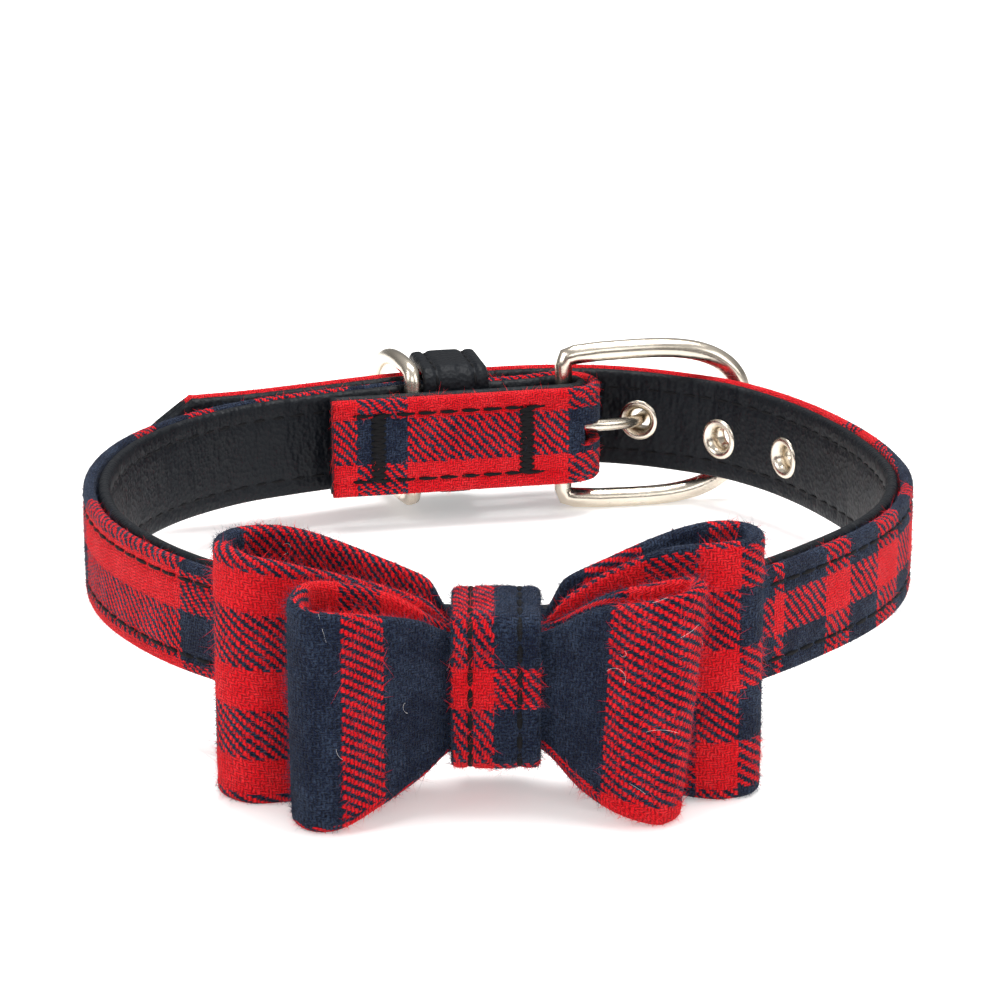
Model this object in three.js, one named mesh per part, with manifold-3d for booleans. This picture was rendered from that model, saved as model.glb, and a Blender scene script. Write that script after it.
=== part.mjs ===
// Pet collar with a double bow tie, buckled into a loop and resting on its bow and its buckle.
// Millimetres, +Z up, +Y towards the buckle, the bow at the front on -Y.
import * as THREE from "three";
import Module from "manifold-3d";
import { mergeVertices } from "three/addons/utils/BufferGeometryUtils.js";

const wasm = await Module();
wasm.setup();

// Strap: a flannel face and a leather lining, sewn back to back.
const FABRIC = { from: 0.1, to: 1.9 };
const LINING = { from: -1.9, to: -0.2 };
const STRAP_BEVEL = 0.5;
const WRAP_RADIUS = 3.7;
const MID_HEIGHT = 13;

// The back of the collar, where the layers lie side by side: along, and out from the neck side.
const BACK_TURN = THREE.MathUtils.degToRad(12);
const ALONG = new THREE.Vector2(Math.cos(BACK_TURN), Math.sin(BACK_TURN));
const OUT = new THREE.Vector2(-Math.sin(BACK_TURN), Math.cos(BACK_TURN));
const BACK_FACE = new THREE.Vector2(-4.5, 25);

// Buckle
const BAR = new THREE.Vector2(9.6, 33.75);
const FRAME_TURN = THREE.MathUtils.degToRad(9.8);
const FRAME_RISE = 0.01;
const FRAME_RADIUS = 1.5;
const BAR_RADIUS = 1.3;
const PRONG_RADIUS = 0.9;
const PRONG_EYE = { radius: 2, wall: 0.8, height: 2.2 };
const SLOT = { height: 3.2, from: 2.2, to: 8, neck: -6.4, far: 3.4, relief: 2.8 };

// Eyelets, set along the strap from its tip.
const EYELETS = [
  { name: "eyelet_1", fromTip: 49.8, rise: 0 },
  { name: "eyelet_2", fromTip: 64.8, rise: 0 },
  { name: "eyelet_3", fromTip: 79.8, rise: 0 },
  { name: "eyelet_4", fromTip: 94.8, rise: -1.2 },
  { name: "eyelet_5", fromTip: 109.8, rise: -1 },
];
const EYELET_BARREL = 2.2;
const EYELET_FLANGE = 3.2;
const EYELET_GAP = 0.3;
const EYELET_POCKET = 1.3;
const EYELET_SECTION = [
  [1.8, 1.8],
  [2.2, 2.2],
  [2.8, 2.2],
  [3.2, 1.85],
  [3.2, 1.6],
  [2.2, 1.6],
  [2.2, -1.6],
  [3.2, -1.6],
  [3.2, -1.85],
  [2.8, -2.2],
  [2.2, -2.2],
  [1.8, -1.8],
  [1.8, 1.8],
];

// Leash ring and keeper
const RING_PIN = { along: -7.7, out: 5.35 };
const RING_TURN = THREE.MathUtils.degToRad(110);
const RING_RADIUS = 1.25;
const KEEPER = { along: -1.1, width: 10, inner: 4.85, outer: 17.15, low: 4.35, high: 22.7, wall: 1.5, corner: 2.2 };

// Outlines of the frame and the ring: distance out from the bar, and height from the middle.
const FRAME_OUTLINE = { length: 28, start: 11, half: 11.72, power: 2.8, arm: [[5.5, 11.6], [1.8, 11.3], [0.5, 10.9]], bar: 9.8 };
const RING_OUTLINE = { length: 18, start: 5, half: 10.3, power: 2.5, arm: [[1.7, 10.1], [0.45, 9.6]], bar: 8.5 };

// Centre wrap of the bow
const KNOT = { width: 11, front: -88.95, back: -76.05, low: 6.1, high: 24.5, wall: 1.6, corner: 1.9 };

// Mid-line of the strap in plan with its bottom and top edge: the end folded in behind the bar.
const FOLDED_END = [
  { x: -25.1, y: 22.6, low: 5.5, high: 20.5 },
  { x: -15.4, y: 24.6, low: 5.5, high: 20.5 },
  { x: -2.4, y: 27.4, low: 5.5, high: 20.5 },
  { x: 6.6, y: 29.3, low: 5.5, high: 20.5 },
];

// The strap from the bar round the left side, the front and the right side to the tip.
const LOOP = [
  { x: 3.3, y: 35.0, low: 5.5, high: 20.5 },
  { x: -3.4, y: 33.4, low: 5.5, high: 20.5 },
  { x: -9.0, y: 32.5, low: 5.5, high: 20.5 },
  { x: -13.9, y: 32.0, low: 5.5, high: 20.5 },
  { x: -19.4, y: 29.9, low: 5.5, high: 20.5 },
  { x: -25.0, y: 27.6, low: 5.5, high: 20.5 },
  { x: -31.5, y: 24.4, low: 5.5, high: 20.5 },
  { x: -38.2, y: 20.2, low: 5.6, high: 20.6 },
  { x: -44.4, y: 14.0, low: 5.8, high: 20.8 },
  { x: -49.3, y: 6.6, low: 6.1, high: 21.1 },
  { x: -53.0, y: -2.5, low: 6.5, high: 21.5 },
  { x: -55.0, y: -12.5, low: 6.9, high: 21.9 },
  { x: -55.3, y: -22.0, low: 7.3, high: 22.3 },
  { x: -54.1, y: -32.0, low: 7.7, high: 22.7 },
  { x: -51.3, y: -42.0, low: 8.1, high: 23.1 },
  { x: -46.8, y: -51.4, low: 8.5, high: 23.5 },
  { x: -40.4, y: -60.6, low: 8.8, high: 23.8 },
  { x: -32.0, y: -68.4, low: 8.9, high: 23.9 },
  { x: -21.5, y: -74.6, low: 8.9, high: 23.8 },
  { x: -10.5, y: -78.6, low: 8.9, high: 23.3 },
  { x: 0, y: -79.1, low: 8.9, high: 22.9 },
  { x: 10.5, y: -78.6, low: 8.9, high: 23.3 },
  { x: 21.5, y: -74.2, low: 8.9, high: 23.8 },
  { x: 32.0, y: -65.8, low: 8.9, high: 23.9 },
  { x: 40.4, y: -56.0, low: 8.6, high: 23.6 },
  { x: 47.2, y: -46.4, low: 8.3, high: 23.3 },
  { x: 51.6, y: -37.2, low: 7.9, high: 22.9 },
  { x: 54.2, y: -27.4, low: 7.5, high: 22.5 },
  { x: 55.0, y: -17.0, low: 7.0, high: 22.0 },
  { x: 53.9, y: -6.6, low: 6.5, high: 21.5 },
  { x: 51.8, y: 2.8, low: 6.1, high: 21.1 },
  { x: 48.8, y: 11.4, low: 5.8, high: 20.8 },
  { x: 44.8, y: 19.8, low: 5.6, high: 20.6 },
  { x: 40.0, y: 27.0, low: 5.5, high: 20.5 },
  { x: 34.2, y: 33.5, low: 5.3, high: 20.3 },
  { x: 28.0, y: 38.2, low: 5.0, high: 20.0 },
  { x: 21.8, y: 41.3, low: 4.9, high: 19.9 },
  { x: 15.5, y: 42.6, low: 5.0, high: 20.0 },
  { x: 9.6, y: 42.2, low: 5.2, high: 20.2 },
  { x: 3.8, y: 41.1, low: 5.4, high: 20.4 },
  { x: -4.0, y: 39.2, low: 5.5, high: 20.5 },
  { x: -9.6, y: 38.0, low: 5.5, high: 20.5 },
  { x: -15.0, y: 36.6, low: 5.5, high: 20.5 },
  { x: -20.8, y: 34.2, low: 5.5, high: 20.5 },
  { x: -29.4, y: 30.2, low: 5.5, high: 20.5 },
  { x: -38.2, y: 26.4, low: 5.5, high: 20.5 },
  { x: -45.4, y: 24.1, low: 5.5, high: 20.5 },
  { x: -46.4, y: 23.8, low: 5.7, high: 20.3 },
  { x: -50.9, y: 22.4, low: 9.0, high: 17.0 },
  { x: -54.2, y: 21.4, low: 12.1, high: 13.9 },
];

// Bow loops: the middle of the cloth wall, clockwise from the front centre; lean moves the top in x.
const BACK_BOW = [
  { x: 0, y: -83.8, low: 7.6, high: 22.9, wall: 1.4, lean: 0 },
  { x: -6.0, y: -83.8, low: 7.5, high: 23.0, wall: 1.4, lean: 0 },
  { x: -8.6, y: -84.0, low: 5.8, high: 25.6, wall: 1.7, lean: 0 },
  { x: -12.5, y: -84.4, low: 4.0, high: 27.2, wall: 1.9, lean: 0 },
  { x: -19, y: -84.7, low: 1.6, high: 29.2, wall: 2.1, lean: 0 },
  { x: -26, y: -85.4, low: 0, high: 31.0, wall: 2.2, lean: 0 },
  { x: -30.6, y: -85.8, low: 0, high: 32.2, wall: 2.2, lean: 0 },
  { x: -33.6, y: -83.2, low: 0, high: 32.8, wall: 2.2, lean: 0 },
  { x: -33.7, y: -79.6, low: 0, high: 33.0, wall: 2.2, lean: 0 },
  { x: -31.0, y: -77.0, low: 0, high: 33.0, wall: 2.2, lean: 0 },
  { x: -26, y: -77.0, low: 0.2, high: 32.8, wall: 2.2, lean: 0 },
  { x: -19, y: -79.9, low: 2.2, high: 31.6, wall: 2.1, lean: 0 },
  { x: -12.5, y: -81.6, low: 4.3, high: 29.5, wall: 1.9, lean: 0 },
  { x: -8.6, y: -82.0, low: 5.9, high: 27.6, wall: 1.7, lean: 0 },
  { x: -6.0, y: -82.1, low: 7.5, high: 23.4, wall: 1.4, lean: 0 },
  { x: 0, y: -82.1, low: 7.6, high: 23.2, wall: 1.4, lean: 0 },
  { x: 5.2, y: -82.1, low: 7.5, high: 23.4, wall: 1.4, lean: 0 },
  { x: 7.8, y: -82.0, low: 6.2, high: 27.6, wall: 1.7, lean: 0 },
  { x: 12, y: -81.6, low: 4.6, high: 29.8, wall: 1.9, lean: 0 },
  { x: 18, y: -79.8, low: 2.4, high: 32.0, wall: 2.1, lean: 0 },
  { x: 24, y: -77.4, low: 0.4, high: 33.3, wall: 2.2, lean: 0 },
  { x: 28.3, y: -77.0, low: 0, high: 33.6, wall: 2.2, lean: 0 },
  { x: 30.9, y: -79.2, low: 0, high: 33.6, wall: 2.2, lean: 0 },
  { x: 30.6, y: -82.8, low: 0, high: 33.4, wall: 2.2, lean: 0 },
  { x: 27, y: -84.6, low: 0, high: 33.3, wall: 2.2, lean: 0 },
  { x: 20, y: -84.8, low: 1.2, high: 32.6, wall: 2.1, lean: 0 },
  { x: 13, y: -84.5, low: 3.8, high: 29.6, wall: 1.9, lean: 0 },
  { x: 7.8, y: -84.0, low: 6.0, high: 26.0, wall: 1.7, lean: 0 },
  { x: 5.2, y: -83.8, low: 7.5, high: 23.0, wall: 1.4, lean: 0 },
];

const FRONT_BOW = [
  { x: 0, y: -87.2, low: 7.7, high: 22.7, wall: 1.4, lean: 0 },
  { x: -6.0, y: -87.2, low: 7.5, high: 22.8, wall: 1.4, lean: 0 },
  { x: -10, y: -89.7, low: 4.8, high: 25.2, wall: 1.9, lean: 0 },
  { x: -15, y: -93.3, low: 2.4, high: 27.0, wall: 2.1, lean: 0 },
  { x: -19.5, y: -95.4, low: 0.4, high: 28.0, wall: 2.2, lean: 0 },
  { x: -22.8, y: -94.9, low: 0, high: 28.2, wall: 2.2, lean: 0 },
  { x: -24.4, y: -91.8, low: 0, high: 28.8, wall: 2.2, lean: 0 },
  { x: -23.1, y: -88.8, low: 0, high: 29.6, wall: 2.2, lean: 0 },
  { x: -18, y: -88.2, low: 1.2, high: 29.2, wall: 2.1, lean: 0 },
  { x: -12, y: -87.5, low: 3.6, high: 27.2, wall: 1.9, lean: 0 },
  { x: -6.0, y: -85.55, low: 7.5, high: 23.0, wall: 1.4, lean: 0 },
  { x: 0, y: -85.55, low: 7.6, high: 22.9, wall: 1.4, lean: 0 },
  { x: 5.2, y: -85.55, low: 7.5, high: 23.0, wall: 1.4, lean: 0 },
  { x: 12, y: -87.4, low: 3.8, high: 27.6, wall: 1.9, lean: 0.8 },
  { x: 17.2, y: -88.0, low: 1.4, high: 29.4, wall: 2.1, lean: 2 },
  { x: 19.9, y: -88.4, low: 0.1, high: 30.2, wall: 2.2, lean: 3 },
  { x: 21.0, y: -90.6, low: 0, high: 30.3, wall: 2.2, lean: 3 },
  { x: 19.3, y: -93.0, low: 0, high: 29.8, wall: 2.2, lean: 3 },
  { x: 15.2, y: -93.5, low: 1.3, high: 28.8, wall: 2.1, lean: 2 },
  { x: 10.5, y: -90.3, low: 3.2, high: 26.8, wall: 1.9, lean: 0.8 },
  { x: 5.2, y: -87.2, low: 7.6, high: 22.8, wall: 1.4, lean: 0 },
];

// Prong: from the bar, through the fold and the third eyelet, on to the far end of the frame.
const PRONG = [
  { x: 11.4, y: 33.9, rise: 0 },
  { x: 14.5, y: 34.6, rise: 0 },
  { x: 18.4, y: 36.6, rise: -0.3 },
  { x: 20.9, y: 39.0, rise: -0.5 },
  { x: 22.4, y: 42.2, rise: -0.5 },
  { x: 24.4, y: 44.2, rise: -0.3 },
  { x: 28.4, y: 44.3, rise: 0 },
  { x: 33.4, y: 42.7, rise: 0.3 },
  { x: 38.6, y: 40.6, rise: 0.6 },
];

// Turns rings of points into one closed mesh.
function loft(rings, closed) {
  const around = rings[0].length;
  const points = rings.flat();
  const faces = [];
  const last = closed ? rings.length : rings.length - 1;
  for (let i = 0; i < last; i++) {
    const here = i * around;
    const next = ((i + 1) % rings.length) * around;
    for (let k = 0; k < around; k++) {
      const side = (k + 1) % around;
      faces.push(here + k, next + k, next + side, here + k, next + side, here + side);
    }
  }
  if (!closed) {
    const end = (rings.length - 1) * around;
    for (let k = 1; k < around - 1; k++) {
      faces.push(0, k, k + 1, end, end + k + 1, end + k);
    }
  }
  const geometry = new THREE.BufferGeometry();
  geometry.setAttribute("position", new THREE.Float32BufferAttribute(points.flatMap((p) => p.toArray()), 3));
  geometry.setIndex(volumeOf(points, faces) < 0 ? faces.reverse() : faces);
  return geometry;
}

function volumeOf(points, faces) {
  let six = 0;
  for (let i = 0; i < faces.length; i += 3) {
    const [a, b, c] = [points[faces[i]], points[faces[i + 1]], points[faces[i + 2]]];
    six += a.dot(new THREE.Vector3().crossVectors(b, c));
  }
  return six / 6;
}

function toSolid(geometry) {
  const bare = geometry.clone();
  bare.deleteAttribute("normal");
  bare.deleteAttribute("uv");
  const merged = mergeVertices(bare, 1e-4);
  const mesh = new wasm.Mesh({
    numProp: 3,
    vertProperties: new Float32Array(merged.attributes.position.array),
    triVerts: new Uint32Array(merged.index.array),
  });
  return new wasm.Manifold(mesh);
}

function fromSolid(solid) {
  const mesh = solid.getMesh();
  const geometry = new THREE.BufferGeometry();
  geometry.setAttribute("position", new THREE.BufferAttribute(new Float32Array(mesh.vertProperties), 3));
  geometry.setIndex(new THREE.BufferAttribute(new Uint32Array(mesh.triVerts), 1));
  return geometry;
}

// Smooth samples of a plan table, each with its normal to the right of the way it runs.
function sample(rows, closed, steps) {
  const plan = new THREE.CatmullRomCurve3(rows.map((r) => new THREE.Vector3(r.x, r.y, 0)), closed);
  const edge = new THREE.CatmullRomCurve3(
    rows.map((r) => new THREE.Vector3(r.low, r.high, r.wall ?? 0)),
    closed,
    "catmullrom",
  );
  const count = (closed ? rows.length : rows.length - 1) * steps;
  const samples = [];
  for (let i = 0; i < (closed ? count : count + 1); i++) {
    const at = plan.getPoint(i / count);
    const way = plan.getTangent(i / count);
    const [low, high, wall] = edge.getPoint(i / count).toArray();
    const row = Math.floor(i / steps);
    const share = (i % steps) / steps;
    const lean = THREE.MathUtils.lerp(rows[row].lean ?? 0, rows[(row + 1) % rows.length].lean ?? 0, share);
    samples.push({ x: at.x, y: at.y, nx: way.y, ny: -way.x, low: Math.max(low, 0), high, wall, lean });
  }
  return samples;
}

// The eight corners of an upright band's section, its edges bevelled.
function bandRing(s, from, to, bevel) {
  const corners = [
    [from, s.low + bevel],
    [from + bevel, s.low],
    [to - bevel, s.low],
    [to, s.low + bevel],
    [to, s.high - bevel],
    [to - bevel, s.high],
    [from + bevel, s.high],
    [from, s.high - bevel],
  ];
  return corners.map(([n, z]) => {
    const share = (z - s.low) / (s.high - s.low);
    return new THREE.Vector3(s.x + s.nx * n + s.lean * share, s.y + s.ny * n, z);
  });
}

// A rounded rectangle as a list of corners-in-order points, in its own two directions.
function roundedRectangle(left, right, low, high, radius, steps) {
  const centres = [
    [right - radius, high - radius],
    [left + radius, high - radius],
    [left + radius, low + radius],
    [right - radius, low + radius],
  ];
  const points = [];
  centres.forEach(([cx, cy], quarter) => {
    for (let i = 0; i <= steps; i++) {
      const angle = (quarter + i / steps) * (Math.PI / 2);
      const away = [Math.cos(angle), Math.sin(angle)];
      points.push({ u: cx + radius * away[0], v: cy + radius * away[1], away });
    }
  });
  return points;
}

// A flat strip bent into a closed loop: place() takes out, along and up to a point.
function stripLoop(outline, width, wall, bevel, place) {
  const section = [
    [-wall / 2, -width / 2 + bevel],
    [-wall / 2 + bevel, -width / 2],
    [wall / 2 - bevel, -width / 2],
    [wall / 2, -width / 2 + bevel],
    [wall / 2, width / 2 - bevel],
    [wall / 2 - bevel, width / 2],
    [-wall / 2 + bevel, width / 2],
    [-wall / 2, width / 2 - bevel],
  ];
  const rings = outline.map((p) => section.map(([n, w]) => place(p.u + p.away[0] * n, w, p.v + p.away[1] * n)));
  return loft(rings, true);
}

// A round wire along points in a plane, whose normal is side, with a radius for each point.
function wire(points, radii, side, closed, sides) {
  const count = points.length;
  const rings = points.map((point, i) => {
    const before = points[closed ? (i + count - 1) % count : Math.max(i - 1, 0)];
    const after = points[closed ? (i + 1) % count : Math.min(i + 1, count - 1)];
    const way = new THREE.Vector3().subVectors(after, before).normalize();
    const other = new THREE.Vector3().crossVectors(way, side).normalize();
    return Array.from({ length: sides }, (_, k) => {
      const angle = ((k + 0.5) / sides) * Math.PI * 2;
      const ring = point.clone().addScaledVector(side, radii[i] * Math.cos(angle));
      return ring.addScaledVector(other, radii[i] * Math.sin(angle));
    });
  });
  return loft(rings, closed);
}

// A D outline: rounded at its far end, with a straight bar at distance zero.
function dOutline({ length, start, half, power, arm, bar }, steps) {
  const far = [];
  for (let i = 0; i <= steps; i++) {
    const angle = (i / steps) * (Math.PI / 2);
    const out = start + (length - start) * Math.cos(angle) ** (2 / power);
    far.push([out, half * Math.sin(angle) ** (2 / power)]);
  }
  const upper = [...far, ...arm, [0, bar]];
  const lower = upper.slice(1).map(([out, height]) => [out, -height]);
  return [...upper, ...lower.reverse()];
}

function planPoint(origin, way, distance, z) {
  return new THREE.Vector3(origin.x + way.x * distance, origin.y + way.y * distance, z);
}

function backPoint(along, out, z) {
  const plan = BACK_FACE.clone().addScaledVector(ALONG, along).addScaledVector(OUT, out);
  return new THREE.Vector3(plan.x, plan.y, z);
}

// The whole strap: the folded end, the turn round the bar, and the loop.
const wrapRows = [0, 45, 90, 135, 180].map((degrees) => {
  const angle = THREE.MathUtils.degToRad(degrees);
  const turn = OUT.clone().multiplyScalar(-Math.cos(angle)).addScaledVector(ALONG, Math.sin(angle));
  const at = BAR.clone().addScaledVector(turn, WRAP_RADIUS);
  return { x: at.x, y: at.y, low: 5.5, high: 20.5 };
});
const strap = sample([...FOLDED_END, ...wrapRows, ...LOOP], false, 2);

function bandFrom(samples, { from, to }, bevel) {
  return loft(samples.map((s) => bandRing(s, from, to, bevel)), false);
}

function bowFrom(rows) {
  const rings = sample(rows, true, 2).map((s) => bandRing(s, -s.wall / 2, s.wall / 2, 0.4));
  return loft(rings, true);
}

// Where the strap's mid-line is, at a distance from its tip.
function strapAt(fromTip) {
  let gone = 0;
  for (let i = strap.length - 1; i > 0; i--) {
    const [a, b] = [strap[i], strap[i - 1]];
    const step = Math.hypot(b.x - a.x, b.y - a.y);
    if (gone + step >= fromTip) {
      const share = (fromTip - gone) / step;
      const mix = (key) => THREE.MathUtils.lerp(a[key], b[key], share);
      const across = new THREE.Vector3(mix("nx"), mix("ny"), 0).normalize();
      return { at: new THREE.Vector3(mix("x"), mix("y"), (mix("low") + mix("high")) / 2), across };
    }
    gone += step;
  }
  throw new Error("past the end of the strap");
}

// A lathe turned on the strap's own normal at an eyelet.
function turned(section, eyelet) {
  const { at, across } = strapAt(eyelet.fromTip);
  const profile = section.map(([r, a]) => new THREE.Vector2(r, a));
  const geometry = new THREE.LatheGeometry(profile, 16);
  const turn = new THREE.Quaternion().setFromUnitVectors(new THREE.Vector3(0, 1, 0), across);
  geometry.applyQuaternion(turn);
  geometry.translate(at.x, at.y, at.z + eyelet.rise);
  return geometry;
}

// The hole and the two shallow pockets that an eyelet sits in.
function eyeletCutter(eyelet) {
  const hole = EYELET_BARREL + EYELET_GAP;
  const pocket = EYELET_FLANGE + EYELET_GAP;
  const section = [
    [0, 4],
    [pocket, 4],
    [pocket, EYELET_POCKET],
    [hole, EYELET_POCKET],
    [hole, -EYELET_POCKET],
    [pocket, -EYELET_POCKET],
    [pocket, -4],
    [0, -4],
  ];
  return outward(turned(section, eyelet));
}

function outward(geometry) {
  const solid = toSolid(geometry);
  if (solid.volume() > 0) return solid;
  const flipped = geometry.clone();
  flipped.setIndex(Array.from(geometry.index.array).reverse());
  return toSolid(flipped);
}

// The slot that lets the prong out of the fold, and the room for its eye round the bar.
function slotCutter() {
  const corners = [
    [SLOT.from, SLOT.neck],
    [SLOT.to, SLOT.neck],
    [SLOT.to, SLOT.far],
    [SLOT.from, SLOT.far],
  ];
  const place = ([along, out], z) => {
    const plan = BAR.clone().addScaledVector(ALONG, along).addScaledVector(OUT, out);
    return new THREE.Vector3(plan.x, plan.y, z);
  };
  const [low, high] = [MID_HEIGHT - SLOT.height / 2, MID_HEIGHT + SLOT.height / 2];
  const box = loft([corners.map((c) => place(c, low)), corners.map((c) => place(c, high))], false);
  const relief = new THREE.CylinderGeometry(SLOT.relief, SLOT.relief, SLOT.height, 20);
  relief.rotateX(Math.PI / 2);
  relief.translate(BAR.x, BAR.y, MID_HEIGHT);
  return toSolid(box).add(outward(relief));
}

const cutters = [slotCutter(), ...EYELETS.map(eyeletCutter)];
const cut = (geometry) => fromSolid(cutters.reduce((solid, cutter) => solid.subtract(cutter), toSolid(geometry)));

const frameWay = new THREE.Vector2(Math.cos(FRAME_TURN), Math.sin(FRAME_TURN));
const frameSide = new THREE.Vector3(-frameWay.y, frameWay.x, 0);
const frameOutline = dOutline(FRAME_OUTLINE, 9);
const frameGeometry = wire(
  frameOutline.map(([out, height]) => planPoint(BAR, frameWay, out, MID_HEIGHT + height + FRAME_RISE * out)),
  frameOutline.map(([out]) => (out === 0 ? BAR_RADIUS : FRAME_RADIUS)),
  frameSide,
  true,
  8,
);

const ringWay = new THREE.Vector2(Math.cos(RING_TURN), Math.sin(RING_TURN));
const ringSide = new THREE.Vector3(-ringWay.y, ringWay.x, 0);
const ringPin = backPoint(RING_PIN.along, RING_PIN.out, 0);
const ringOutline = dOutline(RING_OUTLINE, 8);
const ringGeometry = wire(
  ringOutline.map(([out, height]) => planPoint(ringPin, ringWay, out, MID_HEIGHT + height)),
  ringOutline.map(() => RING_RADIUS),
  ringSide,
  true,
  8,
);

// The prong's eye goes round the bar, and its tongue through the eyelet.
function prongGeometry() {
  const circle = Array.from({ length: 16 }, (_, i) => {
    const angle = (i / 16) * Math.PI * 2;
    const away = [Math.cos(angle), Math.sin(angle)];
    return { u: PRONG_EYE.radius * away[0], v: PRONG_EYE.radius * away[1], away };
  });
  const eye = stripLoop(circle, PRONG_EYE.height, PRONG_EYE.wall, 0.2, (u, w, v) =>
    new THREE.Vector3(BAR.x + u, BAR.y + v, MID_HEIGHT + w),
  );
  const curve = new THREE.CatmullRomCurve3(PRONG.map((p) => new THREE.Vector3(p.x, p.y, MID_HEIGHT + p.rise)));
  const points = curve.getPoints(20);
  const radii = points.map((_, i) => (i < 19 ? PRONG_RADIUS : PRONG_RADIUS * (i === 19 ? 0.85 : 0.5)));
  const tongue = wire(points, radii, new THREE.Vector3(0, 0, 1), false, 8);
  return fromSolid(toSolid(eye).add(toSolid(tongue)));
}

const keeperGeometry = stripLoop(
  roundedRectangle(KEEPER.inner, KEEPER.outer, KEEPER.low, KEEPER.high, KEEPER.corner, 4),
  KEEPER.width,
  KEEPER.wall,
  0.35,
  (out, width, z) => backPoint(KEEPER.along + width, out, z),
);

const knotGeometry = stripLoop(
  roundedRectangle(KNOT.front, KNOT.back, KNOT.low, KNOT.high, KNOT.corner, 4),
  KNOT.width,
  KNOT.wall,
  0.4,
  (y, width, z) => new THREE.Vector3(width - 0.5, y, z),
);

const MATERIALS = {
  flannel: new THREE.MeshStandardMaterial({ color: 0xb3202e, roughness: 0.95, metalness: 0 }),
  leather: new THREE.MeshStandardMaterial({ color: 0x17181b, roughness: 0.6, metalness: 0 }),
  nickel: new THREE.MeshStandardMaterial({ color: 0xc9c2b4, roughness: 0.22, metalness: 1 }),
};

const part = new THREE.Group();
part.name = "bow_tie_collar";

function addNode(name, geometry, material) {
  const mesh = new THREE.Mesh(geometry, material);
  mesh.name = name;
  part.add(mesh);
}

addNode("strap_fabric", cut(bandFrom(strap, FABRIC, STRAP_BEVEL)), MATERIALS.flannel);
addNode("strap_lining", cut(bandFrom(strap, LINING, STRAP_BEVEL)), MATERIALS.leather);
addNode("bow_back", bowFrom(BACK_BOW), MATERIALS.flannel);
addNode("bow_front", bowFrom(FRONT_BOW), MATERIALS.flannel);
addNode("bow_knot", knotGeometry, MATERIALS.flannel);
addNode("keeper_loop", keeperGeometry, MATERIALS.leather);
addNode("buckle_frame", frameGeometry, MATERIALS.nickel);
addNode("buckle_prong", prongGeometry(), MATERIALS.nickel);
addNode("leash_ring", ringGeometry, MATERIALS.nickel);
EYELETS.forEach((eyelet) => {
  addNode(eyelet.name, fromSolid(outward(turned(EYELET_SECTION, eyelet))), MATERIALS.nickel);
});

// The origin is the middle of the collar's box, on the surface it rests on.
const box = new THREE.Box3().setFromObject(part);
const middle = box.getCenter(new THREE.Vector3());
part.position.set(-middle.x, -middle.y, -box.min.z);

export default part;
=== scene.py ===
# Looks of the pet bow tie collar: flannel, leather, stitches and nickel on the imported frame.
# Lengths are in millimetres in the design frame until a mesh is made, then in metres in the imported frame.
import math

import bmesh
import bpy
import numpy as np
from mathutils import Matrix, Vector


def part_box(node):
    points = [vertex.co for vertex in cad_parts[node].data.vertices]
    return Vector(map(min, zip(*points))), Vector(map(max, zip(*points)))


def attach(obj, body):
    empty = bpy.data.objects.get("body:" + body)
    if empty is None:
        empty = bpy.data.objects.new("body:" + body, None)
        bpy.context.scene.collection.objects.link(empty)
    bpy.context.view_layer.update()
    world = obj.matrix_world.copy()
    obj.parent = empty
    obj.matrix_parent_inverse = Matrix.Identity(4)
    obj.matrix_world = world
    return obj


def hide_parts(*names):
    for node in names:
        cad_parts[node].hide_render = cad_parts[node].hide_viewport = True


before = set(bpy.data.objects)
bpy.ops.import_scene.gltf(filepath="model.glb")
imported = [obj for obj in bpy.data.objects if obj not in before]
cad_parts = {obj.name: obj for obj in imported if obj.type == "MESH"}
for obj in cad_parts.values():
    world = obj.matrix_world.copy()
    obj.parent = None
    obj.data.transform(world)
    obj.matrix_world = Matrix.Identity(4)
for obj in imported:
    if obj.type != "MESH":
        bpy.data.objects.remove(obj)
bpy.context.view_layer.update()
rng = np.random.default_rng(7)

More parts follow.
